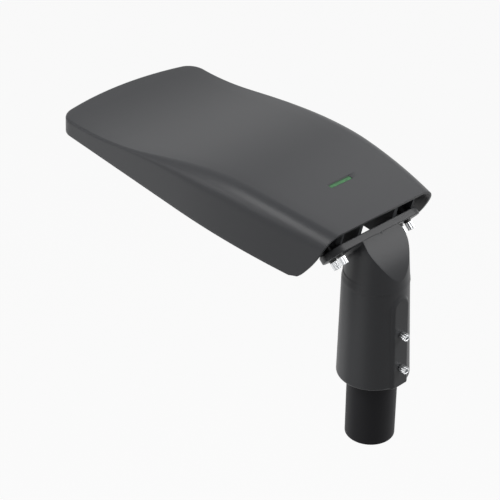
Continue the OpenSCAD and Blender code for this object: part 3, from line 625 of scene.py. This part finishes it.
def ribbed_screw_tree():
    """Geometry Nodes tree: a fluted socket screw at every point it is given."""
    tree = bpy.data.node_groups.new("ribbed_screws", "GeometryNodeTree")
    face = tree.interface
    face.new_socket(name="Places", in_out="INPUT", socket_type="NodeSocketGeometry")
    for name, value in (("Head radius", HEAD_R), ("Head length", HEAD_LENGTH), ("Rib radius", RIB_R),
                        ("Shank radius", 3.0), ("Shank length", 4.0)):
        socket = face.new_socket(name=name, in_out="INPUT", socket_type="NodeSocketFloat")
        socket.default_value = value * MM
    ribs = face.new_socket(name="Ribs", in_out="INPUT", socket_type="NodeSocketInt")
    ribs.default_value = RIB_COUNT
    face.new_socket(name="Turn", in_out="INPUT", socket_type="NodeSocketRotation")
    face.new_socket(name="Blank", in_out="INPUT", socket_type="NodeSocketObject")
    face.new_socket(name="Steel", in_out="INPUT", socket_type="NodeSocketMaterial")
    face.new_socket(name="Screws", in_out="OUTPUT", socket_type="NodeSocketGeometry")
    given = node(tree, "NodeGroupInput").outputs

    def maths(kind, a, b):
        return node(tree, "ShaderNodeMath", (a, b), operation=kind).outputs[0]

    def lift(mesh, z):
        up = node(tree, "ShaderNodeCombineXYZ", {"Z": z}).outputs[0]
        return node(tree, "GeometryNodeTransform", {"Geometry": mesh, "Translation": up}).outputs[0]

    def drum(sides, radius, length, base):
        """A cylinder standing on height base."""
        mesh = node(tree, "GeometryNodeMeshCylinder",
                    {"Vertices": sides, "Radius": radius, "Depth": length}).outputs["Mesh"]
        return lift(mesh, maths("ADD", base, maths("MULTIPLY", length, 0.5)))

    def copies(points, piece, **inputs):
        """A copy of a piece on each point."""
        return node(tree, "GeometryNodeInstanceOnPoints",
                    {"Points": points, "Instance": piece, **inputs}).outputs["Instances"]

    edge = SCREW_CHAMFER * MM
    head_end = maths("MULTIPLY", given["Head length"], -1.0)
    inner_r = maths("SUBTRACT", given["Head radius"], given["Rib radius"])
    blank = node(tree, "GeometryNodeObjectInfo", {"Object": given["Blank"]}).outputs["Geometry"]
    rib_length = maths("SUBTRACT", given["Head length"], edge)
    rib = drum(16, given["Rib radius"], rib_length, maths("ADD", head_end, edge))
    ring = node(tree, "GeometryNodeMeshCircle",
                {"Vertices": given["Ribs"], "Radius": inner_r}).outputs["Mesh"]
    ribs_on = copies(ring, rib)
    shank = drum(32, given["Shank radius"], given["Shank length"], 0.0)
    screw = node(tree, "GeometryNodeJoinGeometry")
    for piece in (blank, ribs_on, shank):
        tree.links.new(piece, screw.inputs[0])
    placed_on = copies(given["Places"], screw.outputs[0], Rotation=given["Turn"])
    solid = node(tree, "GeometryNodeRealizeInstances", {"Geometry": placed_on}).outputs[0]
    dressed = node(tree, "GeometryNodeSetMaterial",
                   {"Geometry": solid, "Material": given["Steel"]}).outputs[0]
    out = node(tree, "NodeGroupOutput")
    tree.links.new(dressed, out.inputs[0])
    return tree


def turned(x, y, r, z, n):
    """A ring of n points of radius r about x and y, at height z."""
    return [(x + r * math.cos(2 * math.pi * j / n), y + r * math.sin(2 * math.pi * j / n), z)
            for j in range(n)]


def screw_blank():
    """Turned head of a cap screw with a chamfered nose and a hexagon socket, its end face down."""
    n = SCREW_SIDES
    core_r = HEAD_R - GROOVE
    turns = [2 * math.pi * j / n for j in range(n)]
    hexagon = [SOCKET_W / 2 / math.cos((a % (math.pi / 3)) - math.pi / 6) for a in turns]
    points = turned(0, 0, core_r, 0.0, n)
    points += turned(0, 0, core_r, SCREW_CHAMFER - HEAD_LENGTH, n)
    points += turned(0, 0, core_r - SCREW_CHAMFER, -HEAD_LENGTH, n)
    for grow, depth in ((SOCKET_CHAMFER, 0), (0, SOCKET_CHAMFER), (0, SOCKET_DEPTH)):
        points += [((r + grow) * math.cos(a), (r + grow) * math.sin(a), depth - HEAD_LENGTH)
                   for a, r in zip(turns, hexagon)]
    faces = grid_faces(6, n, closed=True, flip=True)
    faces.append(tuple(range(n)))
    faces.append(tuple(range(5 * n, 6 * n))[::-1])
    blank = new_mesh("screw_blank", points, faces, SCREW_SHARP)
    blank.hide_render = True
    return blank


def make_screws(name, places, turn, steel, tree, blank, shank_length):
    """Fluted screws at the given points as one plain mesh."""
    obj = new_mesh(name, places, [])
    mod = obj.modifiers.new("screws", "NODES")
    mod.node_group = tree
    values = {"Turn": turn, "Blank": blank, "Steel": steel, "Shank length": shank_length * MM}
    for item in tree.interface.items_tree:
        if item.in_out == "INPUT" and item.name in values:
            mod[item.identifier] = values[item.name]
    plain = flat_copy(obj)
    shade(plain.data, SCREW_SHARP)
    return plain


def make_shade_black_collars():
    """Turned collars between the flange and the heads of its screws, made black as painted shade: they
    stand for the shade and the dark reflection of the flange's underside at the heads.
    """
    n = COLLAR_SIDES
    face_r = COLLAR_R - COLLAR_CHAMFER
    profile = [(COLLAR_BORE_R, 0.3), (face_r, 0.3), (COLLAR_R, 0.6), (COLLAR_R, COLLAR_T - 0.5),
               (face_r, COLLAR_T), (COLLAR_BORE_R, COLLAR_T)]
    points = []
    faces = []
    for x, s in screw_spots():
        base = len(points)
        for r, v in profile:
            points += turned(x, s, r, v - FLANGE_T - COLLAR_T, n)
        faces += [tuple(base + k for k in f) for f in grid_faces(len(profile), n, closed=True)]
        end = base + (len(profile) - 1) * n
        faces += [(end + j, end + (j + 1) % n, base + (j + 1) % n, base + j) for j in range(n)]
    return new_mesh("flange_screw_collars", placed(points, flange_matrix()), faces, 30)


# Finishes
def grain_group():
    """Fine powder-coat or casting grain: tone, roughness and height that vary over a surface."""
    group = bpy.data.node_groups.new("coat_grain", "ShaderNodeTree")
    face = group.interface
    for name, kind, value in (("Tone", "NodeSocketColor", (0.1, 0.1, 0.1, 1)),
                              ("Mottle", "NodeSocketFloat", 0.1), ("Grain size", "NodeSocketFloat", 900),
                              ("Roughness", "NodeSocketFloat", 0.5)):
        socket = face.new_socket(name=name, in_out="INPUT", socket_type=kind)
        socket.default_value = value
    for name, kind in (("Colour", "NodeSocketColor"), ("Rough", "NodeSocketFloat"),
                       ("Height", "NodeSocketFloat")):
        face.new_socket(name=name, in_out="OUTPUT", socket_type=kind)
    nodes, links = group.nodes, group.links
    given, made = nodes.new("NodeGroupInput"), nodes.new("NodeGroupOutput")
    place = nodes.new("ShaderNodeTexCoord")
    grain, cloud = nodes.new("ShaderNodeTexNoise"), nodes.new("ShaderNodeTexNoise")
    grain.inputs["Detail"].default_value = 3
    cloud.inputs["Scale"].default_value = CLOUD_SCALE
    cloud.inputs["Detail"].default_value = 4
    links.new(place.outputs["Object"], grain.inputs["Vector"])
    links.new(place.outputs["Object"], cloud.inputs["Vector"])
    links.new(given.outputs["Grain size"], grain.inputs["Scale"])

    def maths(kind, a, b):
        return node(group, "ShaderNodeMath", (a, b), operation=kind).outputs[0]

    mixed = maths("ADD", maths("MULTIPLY", grain.outputs["Fac"], GRAIN_SHARE),
                  maths("MULTIPLY", cloud.outputs["Fac"], CLOUD_SHARE))
    swing = maths("MULTIPLY", maths("SUBTRACT", mixed, 0.5), given.outputs["Mottle"])
    bright = nodes.new("ShaderNodeHueSaturation")
    links.new(given.outputs["Tone"], bright.inputs["Color"])
    links.new(maths("ADD", maths("MULTIPLY", swing, 2.0), 1.0), bright.inputs["Value"])
    links.new(bright.outputs["Color"], made.inputs["Colour"])
    links.new(maths("ADD", given.outputs["Roughness"], swing), made.inputs["Rough"])
    links.new(grain.outputs["Fac"], made.inputs["Height"])
    return group


GRAIN = grain_group()


def finish(name, tone, roughness, metallic=0.0, mottle=0.1, grain_size=900, bump=0.15, **sockets):
    """A material whose tone, roughness and bump come from the shared grain."""
    mat = bpy.data.materials.new(name)
    mat.use_nodes = True
    nodes, links = mat.node_tree.nodes, mat.node_tree.links
    shader = nodes["Principled BSDF"]
    shader.inputs["Metallic"].default_value = metallic
    grain = nodes.new("ShaderNodeGroup")
    grain.node_tree = GRAIN
    grain.inputs["Tone"].default_value = (*tone, 1)
    grain.inputs["Mottle"].default_value = mottle
    grain.inputs["Grain size"].default_value = grain_size
    grain.inputs["Roughness"].default_value = roughness
    links.new(grain.outputs["Colour"], shader.inputs["Base Color"])
    links.new(grain.outputs["Rough"], shader.inputs["Roughness"])
    if bump:
        relief = nodes.new("ShaderNodeBump")
        relief.inputs["Strength"].default_value = bump
        relief.inputs["Distance"].default_value = BUMP_DEPTH * MM
        links.new(grain.outputs["Height"], relief.inputs["Height"])
        links.new(relief.outputs["Normal"], shader.inputs["Normal"])
    for socket, value in sockets.items():
        shader.inputs[socket.replace("_", " ")].default_value = value
    return mat


def make_finishes():
    """One finish for each slot of the record, and one for the badge's stripe."""
    return {
        "dark_paint": finish("powder_coat_dark", (0.036, 0.0371, 0.0400), 0.38, mottle=0.06,
                             grain_size=1400, Specular_IOR_Level=0.22),
        "inner_paint": finish("casting_coat", (0.038, 0.040, 0.043), 0.6, mottle=0.12, grain_size=900,
                              Specular_IOR_Level=0.15),
        "pole_paint": finish("pole_black", (0.014, 0.014, 0.016), 0.5, mottle=0.08, grain_size=700,
                             Specular_IOR_Level=0.1),
        "bright_steel": finish("stainless_bright", (0.64, 0.65, 0.66), 0.2, 1.0, mottle=0.08,
                               grain_size=500, bump=0),
        "zinc_steel": finish("zinc_plate", (0.50, 0.51, 0.52), 0.38, 1.0, mottle=0.25, grain_size=260),
        "black_rubber": finish("seal_rubber", (0.012, 0.012, 0.012), 0.75, mottle=0.15, grain_size=600),
        "clear_glass": finish("toughened_glass", (0.86, 0.93, 0.91), 0.05, mottle=0.01, bump=0,
                              Transmission_Weight=1.0, IOR=1.5),
        "clear_plastic": finish("moulded_lens", (0.92, 0.94, 0.95), 0.10, mottle=0.02, bump=0,
                                Transmission_Weight=0.85, IOR=1.49),
        "white_board": finish("solder_mask_white", (0.78, 0.78, 0.76), 0.4, mottle=0.04, grain_size=300),
        "yellow_phosphor": finish("phosphor", (0.85, 0.62, 0.10), 0.5, mottle=0.1, grain_size=2000),
        "driver_case": finish("driver_grey", (0.46, 0.47, 0.48), 0.5, mottle=0.05, grain_size=900),
        "red_plastic": finish("surge_red", (0.26, 0.04, 0.03), 0.45, mottle=0.05, grain_size=900),
        "ivory_plastic": finish("terminal_ivory", (0.62, 0.58, 0.46), 0.45, mottle=0.05, grain_size=900),
        "black_plastic": finish("nylon_black", (0.02, 0.02, 0.02), 0.45, mottle=0.1, grain_size=900),
        "earth_brass": finish("brass", (0.62, 0.44, 0.14), 0.3, 1.0, mottle=0.15, grain_size=400),
        # The inlay's dark green: partly its own colour, partly painted shade of the pocket.
        "green_inlay": finish("inlay_dark", (0.018, 0.060, 0.025), 0.45, mottle=0.3, grain_size=350,
                              Specular_IOR_Level=0.15),
        "green_stripe": finish("inlay_green", (0.060, 0.168, 0.074), 0.5, mottle=2.2, grain_size=190,
                               bump=0, Specular_IOR_Level=0.15),
    }


def dress_nodes(finishes):
    """Gives every node of the frame the finish of its slot in the record."""
    for part in frame["record"]["subparts"]:
        obj = frame["nodes"][part["node"]]
        obj.data.materials.clear()
        obj.data.materials.append(finishes[part["material_slot"]])


def put_on(piece, slot, finishes, body, *nodes, look=None):
    """Gives a piece the finish of its slot, or of look, hides the nodes it stands for and hangs it on
    the body it rides.
    """
    piece.data.materials.clear()
    piece.data.materials.append(finishes[look or slot])
    if nodes:
        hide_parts(*nodes)
    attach(piece, body)


def screw_spots():
    """Places of the flange screws in the flange's own plane."""
    return [(x, FLANGE_B / 2 + s) for x in (-BOLT_X, BOLT_X) for s in (-BOLT_ROW / 2, BOLT_ROW / 2)]


def dress_screws(finishes):
    """Puts fluted cap screws in the flange and in the clamp pad."""
    tree = ribbed_screw_tree()
    blank = screw_blank()
    steel = finishes["bright_steel"]
    spots = [(x, s, -FLANGE_T - COLLAR_T) for x, s in screw_spots()]
    four = make_screws("flange_cap_screws", placed(spots, flange_matrix()),
                       (-rad(FLANGE_SLOPE), 0, 0), steel, tree, blank, COLLAR_T + BOLT_SHANK)
    put_on(four, "bright_steel", finishes, "head", "flange_screws")
    # Black on the collars is painted shade: the shade and dark reflection under the flange at the screw
    # heads.
    put_on(make_shade_black_collars(), "black_plastic", finishes, "head", "flange_screws")
    for which, height in (("upper", CLAMP_HIGH), ("lower", CLAMP_LOW)):
        y = SLEEVE_SET - SLEEVE_R - PAD_PROUD + height * math.tan(rad(PAD_SLOPE)) - SCREW_GAP
        one = make_screws(which + "_clamp_cap_screw", [(0, y, RIM_Z + height)], (-rad(90), 0, 0),
                          steel, tree, blank, -POLE_R - y - CLAMP_NOSE_GAP)
        put_on(one, "bright_steel", finishes, which + "_screw", "clamp_screw_" + which)
    bpy.data.objects.remove(blank)


# Stage
def seen_directly(tree):
    """Socket that is 1 for what the camera, a reflection or a glass shows, and 0 for light."""
    rays = node(tree, "ShaderNodeLightPath").outputs
    either = node(tree, "ShaderNodeMath", (rays["Is Camera Ray"], rays["Is Glossy Ray"]),
                  operation="MAXIMUM").outputs[0]
    return node(tree, "ShaderNodeMath", (either, rays["Is Transmission Ray"]),
                operation="MAXIMUM").outputs[0]


def white_stage(name, whiteness):
    """Pale material that reads nearly white to the camera and in reflections."""
    mat = bpy.data.materials.new(name)
    mat.use_nodes = True
    tree = mat.node_tree
    tree.nodes.clear()
    plain = node(tree, "ShaderNodeBsdfDiffuse", {"Color": (FLOOR_TONE, FLOOR_TONE, FLOOR_TONE, 1)})
    glow = node(tree, "ShaderNodeEmission")
    share = node(tree, "ShaderNodeMath", (seen_directly(tree), whiteness), operation="MULTIPLY")
    both = node(tree, "ShaderNodeMixShader", (share.outputs[0], plain.outputs[0], glow.outputs[0]))
    node(tree, "ShaderNodeOutputMaterial", {"Surface": both.outputs[0]})
    return mat


def make_stage():
    """A wide pale floor far below the pole, and a world that is white where it is seen."""
    size = FLOOR_HALF
    corners = [(x, y, FLOOR_Z) for x, y in ((-size, -size), (size, -size), (size, size), (-size, size))]
    floor = new_mesh("floor", corners, [(0, 1, 2, 3)])
    floor.data.materials.append(white_stage("pale_floor", FLOOR_WHITE))
    world = bpy.data.worlds.new("studio")
    world.use_nodes = True
    tree = world.node_tree
    back = tree.nodes["Background"]
    back.inputs["Color"].default_value = (1, 1, 1, 1)
    pick = node(tree, "ShaderNodeMix",
                {"Factor": seen_directly(tree), "A": WORLD_LIGHT, "B": WORLD_SEEN})
    tree.links.new(pick.outputs["Result"], back.inputs["Strength"])
    bpy.context.scene.world = world


def add_lamp(name, place, target, size, power):
    """A rectangular softbox of a size in metres and a power in watts, aimed at a target."""
    lamp = bpy.data.lights.new(name, "AREA")
    lamp.shape = "RECTANGLE"
    lamp.size, lamp.size_y = size
    lamp.energy = power
    obj = bpy.data.objects.new(name, lamp)
    bpy.context.scene.collection.objects.link(obj)
    obj.location = place
    obj.rotation_euler = (Vector(target) - Vector(place)).to_track_quat("-Z", "Y").to_euler()


def make_lamps():
    """Softboxes over both sides, one behind on the right, and weak ones low on the left."""
    middle = (0, 0.1, 0.27)
    add_lamp("right_softbox", (0.93, 0.2, 1.22), middle, (1.3, 0.5), 3.5)
    add_lamp("left_softbox", (-0.72, 0.35, 1.2), middle, (0.8, 0.6), 10.5)
    add_lamp("rear_softbox", (0.82, -0.68, 0.95), (0, -0.02, 0.26), (0.7, 0.9), 11)
    add_lamp("left_strip", (-1.08, 0.78, 0.72), middle, (0.6, 0.4), 3)
    add_lamp("low_strip", (-0.56, 1.05, -0.45), middle, (0.3, 0.9), 0.6)
    add_lamp("left_fill", (-1.2, 0.05, -0.2), middle, (0.8, 0.8), 1.8)


def make_camera():
    """The camera that was fitted to the pole and the head's edges."""
    cam = bpy.data.cameras.new("camera")
    cam.sensor_width = 36
    cam.lens = 115.13
    cam.clip_end = 60
    obj = bpy.data.objects.new("camera", cam)
    bpy.context.scene.collection.objects.link(obj)
    obj.location = (-1.14083, -1.01752, 1.20585)
    obj.rotation_euler = (rad(58), 0, rad(-42.86))
    bpy.context.scene.camera = obj
    bpy.context.scene.view_settings.view_transform = "Standard"


make_camera()
make_stage()
make_lamps()
finishes = make_finishes()
dress_nodes(finishes)
put_on(make_housing(), "dark_paint", finishes, "head", "housing")
put_on(make_badge(), "green_inlay", finishes, "head", "badge_insert")
put_on(make_badge_stripe(), "green_inlay", finishes, "head", "badge_insert", look="green_stripe")
put_on(make_spigot(), "dark_paint", finishes, "head", "spigot")
dress_screws(finishes)
